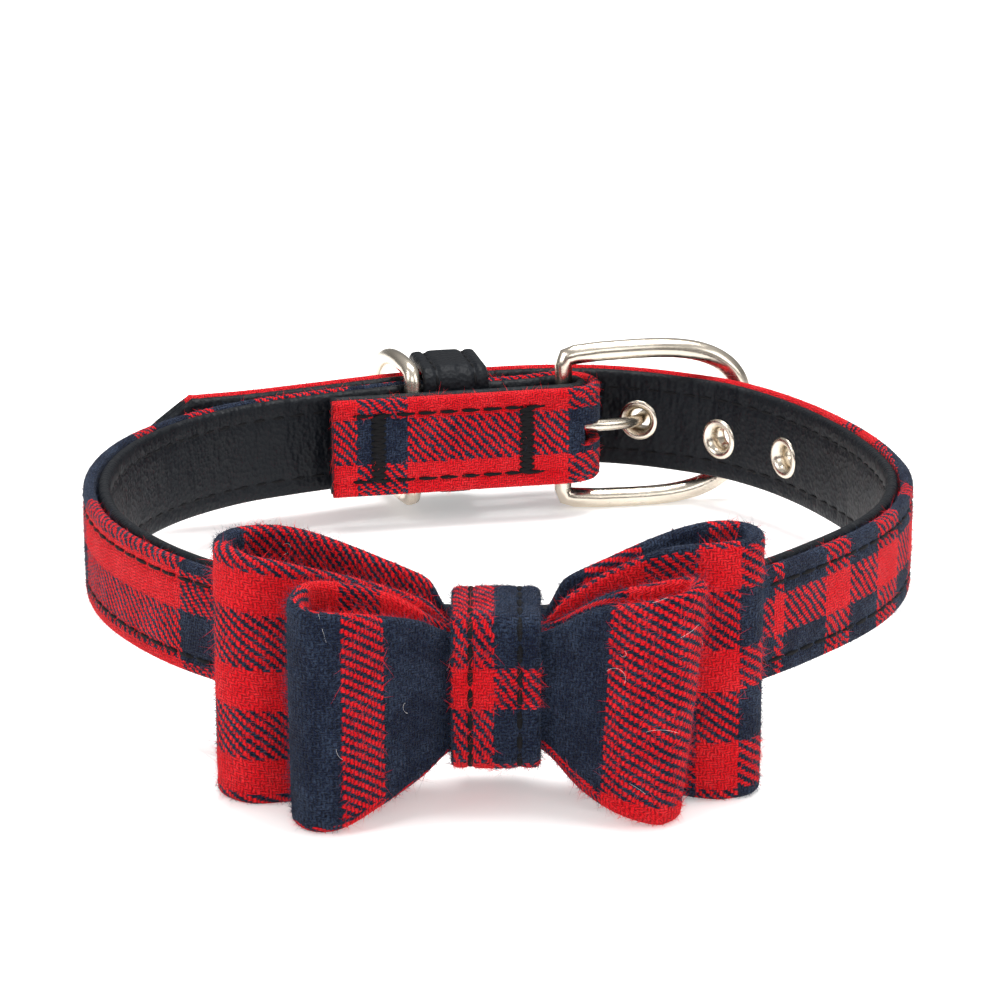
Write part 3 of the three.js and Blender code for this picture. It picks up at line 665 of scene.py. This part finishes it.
def stitches(name, routes, radius, squash=0.75):
    """Threads lying on a surface. Each route is (points, outward normal), and dips in at its ends."""
    points, faces, places = [], [], []
    rings, around = 7, 7
    for line, outward in routes:
        shares = np.linspace(0, 1, len(line))
        ways = np.gradient(line, axis=0)
        ways /= np.linalg.norm(ways, axis=1)[:, None]
        base = len(points)
        for share in np.arange(rings) / (rings - 1):
            at = np.array([np.interp(share, shares, line[:, axis]) for axis in range(3)])
            way = np.array([np.interp(share, shares, ways[:, axis]) for axis in range(3)])
            up = outward - way * (outward @ way)
            up /= np.linalg.norm(up)
            side = np.cross(way, up)
            fat = radius * max(0.12, math.sin(math.pi * (0.07 + 0.86 * share)) ** 0.45)
            at = at + up * (0.16 * math.sin(math.pi * share) ** 0.6 - 0.12)
            for angle in 2 * math.pi * np.arange(around) / around:
                points.append(at + fat * (side * math.cos(angle) + up * squash * math.sin(angle)))
        for i in range(rings - 1):
            ring, after = base + i * around, base + (i + 1) * around
            for k in range(around):
                j = (k + 1) % around
                faces.append([ring + k, after + k, after + j, ring + j])
                places += [(i, k), (i + 1, k), (i + 1, k + 1), (i, k + 1)]
        for first, turn in ((base, 1), (base + (rings - 1) * around, -1)):
            for k in range(1, around - 1, 2):
                corners = [first, *range(first + k, first + min(k + 3, around))]
                faces.append(corners[::turn])
                places += [(0, 0)] * len(corners)
    return mesh_object(name, points, faces, {"threads": places}, THREAD)


# Strap

def seam_pull(along, z, low, high, seam, depth, breadth, least):
    """How far a seam pulls its layer in: by depth at a stitch's end, and a share of it, least, midway."""
    off = min(z - low, high - z) - seam
    pull = (1 + least) / 2 + (1 - least) / 2 * math.cos(2 * math.pi * along / STITCH_PITCH)
    return depth * pull * math.exp(-((off / breadth) ** 2))


def stitch_dip(along, z, low, high, face):
    """The cloth sinks along each seam."""
    return -seam_pull(along, z, low, high, CLOTH_SEAM, 0.55, 0.55, 0.2) if face == "out" else 0.0


def lining_dip(along, z, low, high, face):
    """The leather sinks less, and ripples along the strap."""
    ripple = 0.05 * math.sin(along * 1.35) * math.sin(along * 0.37 + z * 0.2)
    dip = seam_pull(along, z, low, high, LINING_SEAM, 0.3, 0.6, 0.1)
    return ripple - dip if face == "out" else 0.0


def strap_sample(along):
    """The strap at lengths along it: x, y, right-hand normal's x and y, bottom and top edge."""
    values = (*strap["plan"].T, *strap["normal"].T, strap["low"], strap["high"])
    return [np.interp(along, strap["along"], value) for value in values]


def eyelet_place(from_tip, rise):
    """An eyelet's middle, and the direction through the strap."""
    x, y, nx, ny, low, high = strap_sample(STRAP_LENGTH - from_tip)
    return np.array([x, y, (low + high) / 2 + rise]), np.array([nx, ny, 0]) / math.hypot(nx, ny)


def circle(middle, across, radius, depth, sides):
    """Points of a circle round a level axis, depth along it."""
    side = np.cross(across, UP)
    return [middle + across * depth + radius * (side * math.cos(angle) + UP * math.sin(angle))
            for angle in 2 * math.pi * np.arange(sides) / sides]


def prism_faces(base, sides):
    """The walls and the two ends of a prism whose outlines start at base."""
    walls = []
    for k in range(sides):
        j = (k + 1) % sides
        walls.append([base + k, base + j, base + sides + j, base + sides + k])
    first, last = list(range(base, base + sides)), list(range(base + sides, base + 2 * sides))
    return walls, [first[::-1], last]


def hole_cutters():
    """One mesh that holds a plug for each eyelet, and a box for the prong's way through the fold."""
    points, faces = [], []
    for eyelet in EYELETS:
        walls, ends = prism_faces(len(points), 24)
        faces += walls + ends
        for depth in (-4, 4):
            points += circle(*eyelet_place(*eyelet), HOLE_RADIUS, depth, 24)
    walls, ends = prism_faces(len(points), 4)
    faces += ends + walls
    for z in (MID_HEIGHT - 1.6, MID_HEIGHT + 1.6):
        for along, out in ((2.2, -6.4), (8, -6.4), (8, 3.4), (2.2, 3.4)):
            points.append((*(BAR + ALONG * along + OUT * out), z))
    obj = mesh_object("cutter", points, faces, {}, [])
    shape = bmesh.new()
    shape.from_mesh(obj.data)
    bmesh.ops.recalc_face_normals(shape, faces=shape.faces)
    shape.to_mesh(obj.data)
    shape.free()
    return obj


cutter = hole_cutters()


def pierce(obj):
    """Cuts the eyelets' holes and the prong's slot out of a strap layer."""
    modifier = obj.modifiers.new("holes", "BOOLEAN")
    modifier.operation, modifier.solver, modifier.object = "DIFFERENCE", "EXACT", cutter
    made = bpy.data.meshes.new_from_object(obj.evaluated_get(bpy.context.evaluated_depsgraph_get()))
    obj.modifiers.clear()
    obj.data = made
    obj.data.polygons.foreach_set("use_smooth", [True] * len(made.polygons))
    return obj


def strap_layer(name, inner, outer, relief, materials, tip):
    """One layer of the strap. The last tip millimetres take the second material."""
    rings = band(strap, inner, outer, 26, 6, relief)
    faces, threads, chart = band_maps(strap, rings, STRAP_DRIFT)
    faces, ends = caps(faces, *rings.shape[:2])
    threads, chart = (np.concatenate([places, np.zeros((ends, 4, 2))]) for places in (threads, chart))
    picks = [int(corner[:, 0].mean() > STRAP_LENGTH - tip) for corner in threads] if tip else None
    maps = {"threads": threads, "stripes": chart}
    return pierce(mesh_object(name, rings.reshape(-1, 3), faces, maps, materials, True, picks))


strap_cloth = strap_layer("strap_flannel_face", 0.1, 1.9, stitch_dip, [STRAP_CLOTH, LEATHER], 7.5)
strap_lining = strap_layer("strap_leather_lining", -0.2, -1.9, lining_dip, LEATHER, 0)
bpy.data.objects.remove(cutter)


def strap_route(side, seam, start, stop, offset):
    """Threads along the strap, seam millimetres inside its top (1) or bottom (-1)."""
    routes = []
    at = start
    while at + STITCH_PITCH < stop:
        x, y, nx, ny, low, high = strap_sample(np.linspace(at, at + STITCH_PITCH * 0.86, 4))
        z = high - seam if side > 0 else low + seam
        outward = np.array([nx.mean(), ny.mean(), 0]) * (1 if offset > 0 else -1)
        line = np.stack([x + nx * offset, y + ny * offset, z], 1)
        routes.append((line, outward / np.linalg.norm(outward)))
        at += STITCH_PITCH
    return routes


SEAM_END = STRAP_LENGTH - 9
cloth_seams, lining_seams = [], []
for side in (1, -1):
    cloth_seams += strap_route(side, CLOTH_SEAM, 3, 36, 1.66)
    cloth_seams += strap_route(side, CLOTH_SEAM, 50, SEAM_END, 1.66)
    lining_seams += strap_route(side, LINING_SEAM, 3, SEAM_END, -1.7)
strap_seams = stitches("strap_face_seams", cloth_seams, 0.3)
lining_threads = stitches("strap_lining_seams", lining_seams, 0.24)


def bar_tack(along):
    """A thick ladder of thread sewn across the folded end."""
    x, y, nx, ny, _, _ = strap_sample(along)
    way, outward = np.array([-ny, nx, 0]), np.array([nx, ny, 0])
    routes = []
    for j in range(22):
        middle = np.array([x, y, 8.1 + j * 0.46]) + outward * 1.95
        reach = way * 1.15 - (0, 0, 0.22 * (-1) ** j)
        routes.append((np.array([middle - reach, middle, middle + reach]), outward))
    return routes


tacks = stitches("bar_tacks", bar_tack(6.8) + bar_tack(29.4), 0.4)


# Bow

def ruffle(seed):
    """Soft dents and swellings of folded cloth, pleats where it is pinched, and a sunk hem."""
    phase = np.random.default_rng(seed).uniform(0, 6.28, 6)

    def relief(along, z, low, high, face):
        pinch = 1 - (high - low) / 33
        waves = math.sin(along * 0.23 + phase[0] + z * 0.05)
        waves += 0.6 * math.sin(along * 0.41 + z * 0.16 + phase[1])
        pleats = math.cos((z - low) / (high - low) * 4 * math.pi) * max(0, pinch - 0.18)
        edge = min(z - low, high - z)
        hem = -0.1 * math.exp(-(((edge - 2.6) / 0.8) ** 2))
        return 0.084 * waves + 0.35 * pleats + hem

    return relief


def bow_piece(name, route, material, drift, seed):
    """A bow's closed band of cloth, its stripes charted 33 mm high all round."""
    wall = route["shape"][:, 2]
    rings = band(route, wall / 2, -wall / 2, 34, 7, ruffle(seed))
    faces, threads, chart = band_maps(route, rings, drift, 33)
    maps = {"threads": threads[:, ::-1], "stripes": chart[:, ::-1]}
    return mesh_object(name, rings.reshape(-1, 3), faces[:, ::-1], maps, material)


bow_back = bow_piece("bow_back_loops", back_bow, BACK_CLOTH, BACK_DRIFT, 3)
bow_front = bow_piece("bow_front_loops", front_bow, FRONT_CLOTH, FRONT_DRIFT, 5)


def rounded_rectangle(left, right, low, high, radius, straight):
    """Points round a rectangle with round corners, with their outward directions."""
    inner = (left + radius, right - radius), (low + radius, high - radius)
    centres = [(inner[0][i], inner[1][j]) for i, j in ((1, 1), (0, 1), (0, 0), (1, 0))]
    points = []
    for quarter, (x, y) in enumerate(centres):
        for angle in (quarter + np.arange(9) / 8) * math.pi / 2:
            toward = math.cos(angle), math.sin(angle)
            points.append((x + radius * toward[0], y + radius * toward[1], *toward))
        after = centres[(quarter + 1) % 4]
        start = np.array(points[-1][:2])
        end = np.array([after[0] + radius * toward[0], after[1] + radius * toward[1]])
        points += [(*(start + (end - start) * i / straight), *toward) for i in range(1, straight)]
    return np.array(points)


def oriented(faces, points, uv):
    """Faces turned outwards."""
    a, b, c = (points[faces[:, i]] for i in range(3))
    d = points[faces[:, 3]]
    volume = (a * np.cross(b, c)).sum() + (a * np.cross(c, d)).sum()
    return (faces, uv) if volume > 0 else (faces[:, ::-1], uv[:, ::-1])


def strip_loop(name, outline, width, wall, place, material, profile, across=30, corner=4, maps=("threads",)):
    """A strip bent round an outline, and how much of it has gone by at each of the outline's points.

    place takes (out, across, up) to a point, and profile says how far the outer face stands at each place.
    """
    half = wall / 2
    edge = width / 2 - half
    places = np.linspace(-edge, edge, across + 1)
    angles = np.pi * np.arange(1, corner + 1) / (corner + 1)
    turn = [(half * math.cos(angle), edge + half * math.sin(angle)) for angle in angles]
    section = [(half + profile(w), w) for w in places] + turn
    section += [(-half, w) for w in places[::-1]] + [(-n, -w) for n, w in turn]
    points = np.array([place(u + au * n, w, v + av * n) for u, v, au, av in outline for n, w in section])
    faces, ring, side = grid_faces(len(outline), len(section), True)
    gaps = np.linalg.norm(np.diff(np.vstack([outline[:, :2], outline[:1, :2]]), axis=0), axis=1)
    gone = np.concatenate([[0], np.cumsum(gaps)])
    wide = np.array([w for _, w in section] + [section[0][1]]) + width / 2
    faces, uv = oriented(faces, points, np.stack([wide[side], gone[ring]], 2))
    return mesh_object(name, points, faces, {key: uv for key in maps}, material), gone


def sewn_profile(seams, depth, breadth, crown, span):
    """The face of a sewn strip: sunk at its seams and full in its middle."""
    def profile(across):
        gap_shade = sum(math.exp(-(((across - seam) / breadth) ** 2)) for seam in seams)
        return crown * math.cos(across * math.pi / span) - depth * gap_shade

    return profile


def loop_seams(outline, gone, place, facing, seams, lift, start, length, pitch, samples):
    """Threads round a bent strip, lift millimetres out from its outline."""
    routes = []
    closed = np.vstack([outline, outline[:1]])
    for seam in seams:
        at = start
        while at < gone[-1] - 2:
            lengths = np.linspace(at, at + length, samples)
            u, v, au, av = (np.interp(lengths, gone, column) for column in closed.T)
            line = [place(out, seam, up) for out, up in zip(u + au * lift, v + av * lift)]
            outward = np.array([*(facing * au.mean()), av.mean()])
            routes.append((np.array(line), outward / np.linalg.norm(outward)))
            at += pitch
    return routes


def knot_place(y, across, z):
    return (across + KNOT_MIDDLE[0], y, z)


KNOT_FRONT = -88.95
knot_outline = rounded_rectangle(KNOT_FRONT, -76.05, 6.1, 24.5, 1.9, 12)[::-1]
from_seam = np.abs(knot_outline[:, 0] - KNOT_FRONT) * 10 + np.abs(knot_outline[:, 1] - 8)
knot_outline = np.roll(knot_outline, -int(np.argmin(from_seam)), 0)
bow_knot, knot_gone = strip_loop(
    "bow_knot_wrap", knot_outline, 11, 1.6, knot_place, KNOT_CLOTH,
    sewn_profile(KNOT_SEAMS, 0.3, 0.45, 0.12, 11), maps=("threads", "stripes"))
knot_seams = stitches("bow_knot_seams", loop_seams(
    knot_outline, knot_gone, knot_place, np.array([0, 1]), KNOT_SEAMS, 0.6, 0, 2.6, 2.85, 5), 0.4)


# Keeper

def keeper_place(out, across, z):
    return (*(BACK_FACE + ALONG * (across - 1.1) + OUT * out), z)


keeper_outline = rounded_rectangle(4.85, 17.15, 4.35, 22.7, 2.2, 10)
keeper, keeper_gone = strip_loop(
    "keeper_leather", keeper_outline, 10, 1.5, keeper_place, LEATHER,
    sewn_profile(KEEPER_SEAMS, 0.42, 0.42, 0.1, 8))
keeper_seams = stitches("keeper_seams", loop_seams(
    keeper_outline, keeper_gone, keeper_place, OUT, KEEPER_SEAMS, 0.42, 0.3, 1.9, 2.5, 4), 0.2)


# Metal

def wire(name, points, radii, side, closed, sides=20, ridge=0.0):
    """A round wire in a plane, with a faint ridge along its outer line."""
    points = np.array(points, float)
    side = np.array(side, float)
    rings = []
    count = len(points)
    for i, point in enumerate(points):
        before = points[(i - 1) % count if closed else max(i - 1, 0)]
        after = points[(i + 1) % count if closed else min(i + 1, count - 1)]
        way = (after - before) / np.linalg.norm(after - before)
        other = np.cross(way, side)
        other /= np.linalg.norm(other)
        ring = []
        for k in range(sides):
            angle = 2 * math.pi * (k + 0.5) / sides
            swell = 1 - ridge * (1 - abs(math.cos(2 * angle)) ** 0.6)
            ring.append(point + radii[i] * swell * (side * math.cos(angle) + other * math.sin(angle)))
        rings.append(ring)
    rings = np.array(rings)
    faces, ring, around = grid_faces(count, sides, closed)
    uv = np.stack([ring * 0.5, around * 0.5], 2).astype(float)
    flat = rings.reshape(-1, 3)
    if not closed:
        faces, ends = caps(faces, count, sides)
        uv = np.concatenate([uv, np.zeros((ends, 4, 2))])
    faces, uv = oriented(faces, flat, uv)
    return mesh_object(name, flat, faces, {"threads": uv}, NICKEL)


def d_outline(length, start, half, power, arm, bar):
    """A D in its own plane, as (out from the bar, height): rounded far side, arms and the bar's ends."""
    upper = []
    for angle in np.linspace(0, math.pi / 2, 27):
        out = start + (length - start) * max(math.cos(angle), 0) ** (2 / power)
        upper.append((out, half * math.sin(angle) ** (2 / power)))
    upper += arm + [(0, bar)]
    return upper + [(out, -height) for out, height in upper[1:][::-1]]


def heading(degrees):
    """A direction in plan, and the level direction to its left."""
    x, y = math.cos(math.radians(degrees)), math.sin(math.radians(degrees))
    return np.array([x, y]), (-y, x, 0)


frame_way, frame_side = heading(9.8)
frame_line = d_outline(28, 11, 11.72, 2.8, [(5.5, 11.6), (1.8, 11.3), (0.5, 10.9)], 9.8)
frame_points = [(*(BAR + frame_way * out), MID_HEIGHT + height + 0.01 * out) for out, height in frame_line]
frame_radii = [1.3 if out == 0 else 1.5 for out, _ in frame_line]
buckle = wire("buckle_frame_nickel", frame_points, frame_radii, frame_side, True, 28, 0.05)
ring_way, ring_side = heading(RING_TURN)
ring_line = d_outline(18, 5, 10.3, 2.5, [(1.7, 10.1), (0.45, 9.6)], 8.5)
ring_points = [(*(RING_PIN + ring_way * out), MID_HEIGHT + height) for out, height in ring_line]
leash_ring = wire("leash_ring_nickel", ring_points, [1.25] * len(ring_points), ring_side, True, 24)

tongue = curve([(x, y, MID_HEIGHT + rise) for x, y, rise in PRONG], False, 6, True)
to_go = 1 - np.linspace(0, 1, len(tongue))
tongue_radii = 0.9 * np.sqrt(np.clip(to_go * 18, 0.06, 1))
prong = wire("buckle_prong_tongue", tongue, tongue_radii, (0, 0, 1), False, 18)


def eye_place(x, across, y):
    return (BAR[0] + x, BAR[1] + y, MID_HEIGHT + across)


EYE_RADIUS = 2
eye_angles = np.linspace(0, 2 * math.pi, 33)[:-1]
eye_ways = np.stack([np.cos(eye_angles), np.sin(eye_angles)], 1)
eye_outline = np.hstack([EYE_RADIUS * eye_ways, eye_ways])
prong_eye, _ = strip_loop(
    "buckle_prong_eye", eye_outline, 2.2, 0.8, eye_place, NICKEL, lambda across: 0.0, 6, 3)

# Half of an eyelet's section, as radius and depth: the barrel's flare and the rolled rim.
EYELET_RIM = [
    (1.46, 0.7), (1.62, 1.25), (1.86, 1.7), (2.15, 2.02), (2.5, 2.22), (2.85, 2.2), (3.1, 2.04), (3.2, 1.8),
    (3.15, 1.6), (2.2, 1.55),
]
EYELET_SECTION = [(1.4, 0)] + EYELET_RIM + [(radius, -depth) for radius, depth in EYELET_RIM[::-1]]
eyelets = []
for number, eyelet in enumerate(EYELETS, 1):
    middle, across = eyelet_place(*eyelet)
    rings = [circle(middle, across, radius, depth, 40) for radius, depth in EYELET_SECTION]
    points = np.array(rings).transpose(1, 0, 2).reshape(-1, 3)
    faces, ring, around = grid_faces(40, len(EYELET_SECTION), True)
    faces, uv = oriented(faces, points, np.stack([ring * 0.3, around * 0.3], 2))
    eyelets.append(mesh_object(f"eyelet_{number}_nickel", points, faces, {"threads": uv}, NICKEL))


# Wool fibres and stray hairs

strap_wool = fibres("strap_wool", strap_cloth, 42000, STRAP_FIBRE, 0.7)
back_wool = fibres("bow_back_wool", bow_back, 48000, BACK_FIBRE, 1.0)
front_wool = fibres("bow_front_wool", bow_front, 42000, FRONT_FIBRE, 1.0)
knot_wool = fibres("bow_knot_wool", bow_knot, 16000, KNOT_FIBRE, 0.85)

HAIR, shader = new_material("pale_hair")
n = Nodes(HAIR)
tone = n.mix(n.noise(300, 2, 0.5, n.place()), (0.75, 0.74, 0.74, 1), (0.9, 0.88, 0.86, 1))
n.wire(tone, shader.inputs["Base Color"])
shader.inputs["Roughness"].default_value = 0.6
HAIR_STEPS = 9
HAIR_RADIUS = 0.016


def stray_hairs(name, source, count):
    """A few long pale hairs caught in the wool, curling over the surface."""
    polygons = source.data.polygons
    points, faces = [], []
    for pick in rng.integers(0, len(polygons), count):
        face = polygons[int(pick)]
        up = np.array(face.normal)
        way = np.cross(up, rng.normal(size=3))
        way /= np.linalg.norm(way)
        line = [(np.array(face.center) - SHIFT) * 1000 + up * 0.1]
        step = rng.uniform(0.15, 0.45)
        curl = rng.uniform(-0.6, 0.6)
        for _ in range(HAIR_STEPS):
            side = np.cross(up, way)
            way = way * math.cos(curl) + side * math.sin(curl) + up * rng.uniform(-0.1, 0.16)
            way /= np.linalg.norm(way)
            curl *= rng.uniform(0.6, 1.2)
            line.append(line[-1] + way * step)
        for i in range(HAIR_STEPS):
            ring = len(points) + 3 * i
            faces += [[ring + k, ring + j, ring + 3 + j, ring + 3 + k] for k, j in ((0, 1), (1, 2), (2, 0))]
        for i, at in enumerate(line):
            way = line[min(i + 1, HAIR_STEPS)] - line[max(i - 1, 0)]
            side = np.cross(way, (0.3, 0.5, 0.8))
            side /= np.linalg.norm(side)
            other = np.cross(way / np.linalg.norm(way), side)
            for angle in (0, 2.0944, 4.1888):
                points.append(at + HAIR_RADIUS * (side * math.cos(angle) + other * math.sin(angle)))
    return mesh_object(name, points, faces, {}, HAIR)


front_hairs = stray_hairs("bow_front_hairs", bow_front, 30)
back_hairs = stray_hairs("bow_back_hairs", bow_back, 22)


# What each piece is made of, and the nodes it stands for. Only the leash ring rides on a body of its own.
PIECES = [
    (strap_cloth, "flannel", ["strap_fabric"]),
    (strap_lining, "black_leather", ["strap_lining"]),
    (strap_seams, "black_leather", []),
    (lining_threads, "black_leather", []),
    (tacks, "black_leather", []),
    (bow_back, "flannel", ["bow_back"]),
    (bow_front, "flannel", ["bow_front"]),
    (bow_knot, "flannel", ["bow_knot"]),
    (knot_seams, "black_leather", []),
    (keeper, "black_leather", ["keeper_loop"]),
    (keeper_seams, "black_leather", []),
    (buckle, "nickel", ["buckle_frame"]),
    (prong, "nickel", ["buckle_prong"]),
    (prong_eye, "nickel", ["buckle_prong"]),
    (leash_ring, "nickel", ["leash_ring"]),
    (strap_wool, "flannel", []),
    (back_wool, "flannel", []),
    (front_wool, "flannel", []),
    (knot_wool, "flannel", []),
    (front_hairs, "flannel", []),
    (back_hairs, "flannel", []),
] + [(eyelet, "nickel", [f"eyelet_{number}"]) for number, eyelet in enumerate(eyelets, 1)]
for piece, slot, nodes in PIECES:
    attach(piece, "ring" if piece is leash_ring else "collar")
    if nodes:
        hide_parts(*nodes)


# Floor, light and camera

floor_material, shader = new_material("pale_floor")
n = Nodes(floor_material)
tone = n.mix(n.noise(14, 3, 0.5, n.place()), (0.90, 0.895, 0.89, 1), (0.93, 0.925, 0.92, 1))
n.wire(tone, shader.inputs["Base Color"])
shader.inputs["Roughness"].default_value = 0.55
shader.inputs["Specular IOR Level"].default_value = 0.3
shader.inputs["Emission Color"].default_value = (1, 0.995, 0.99, 1)
shader.inputs["Emission Strength"].default_value = 0.36
floor_corners = np.array([(-3, -3, 0), (3, -3, 0), (3, 3, 0), (-3, 3, 0)])
floor = mesh_object("floor", (floor_corners - SHIFT) * 1000, [(0, 1, 2, 3)], {}, floor_material, False)

world = bpy.data.worlds.new("studio")
bpy.context.scene.world = world
world.use_nodes = True
n = Nodes(world)
sky = n.add("ShaderNodeValToRGB")
for index, (at, tone) in enumerate([(0.0, 0.55), (0.5, 0.42), (0.62, 0.33), (0.8, 0.75)]):
    stop = sky.color_ramp.elements[index] if index < 2 else sky.color_ramp.elements.new(at)
    stop.position = at
    stop.color = (tone, tone * 0.99, tone * 0.98, 1)
up = n.split(n.add("ShaderNodeTexCoord").outputs["Generated"])[2]
n.wire(n.math("MULTIPLY_ADD", up, 0.5, 0.5), sky.inputs[0])
n.wire(sky.outputs[0], world.node_tree.nodes["Background"].inputs[0])
world.node_tree.nodes["Background"].inputs[1].default_value = 0.62


def area_light(name, place, target, size, power):
    """A rectangular light that faces its target."""
    data = bpy.data.lights.new(name, "AREA")
    data.shape, data.size, data.size_y, data.energy = "RECTANGLE", size[0], size[1], power
    obj = bpy.data.objects.new(name, data)
    obj.location = place
    obj.rotation_euler = (Vector(target) - Vector(place)).to_track_quat("-Z", "Y").to_euler()
    bpy.context.scene.collection.objects.link(obj)
    return obj


area_light("overhead", (0.05, 0.12, 0.75), (0, 0, 0), (0.6, 0.4), 7.4)
area_light("left_box", (-0.65, -0.35, 0.45), (0, 0, 0.01), (0.4, 0.5), 2.2)
area_light("right_box", (0.7, -0.25, 0.4), (0, 0, 0.01), (0.4, 0.5), 1.6)
area_light("front_fill", (0.1, -0.8, 0.5), (0, -0.05, 0.01), (0.6, 0.4), 1.5)

CAMERA_RISE = 17.5  # degrees above level
CAMERA_DISTANCE = 0.551
AIM_HEIGHT = 0.012
rise = math.radians(CAMERA_RISE)
camera = bpy.data.objects.new("camera", bpy.data.cameras.new("camera"))
camera.data.lens = 138.17
camera.data.clip_start = 0.01
camera.rotation_euler = (math.radians(90 - CAMERA_RISE), 0, 0)
back, up = CAMERA_DISTANCE * math.cos(rise), CAMERA_DISTANCE * math.sin(rise)
camera.location = Vector(SHIFT) + Vector((0, -back, AIM_HEIGHT + up))
bpy.context.scene.collection.objects.link(camera)
bpy.context.scene.camera = camera
bpy.context.scene.view_settings.view_transform = "Standard"
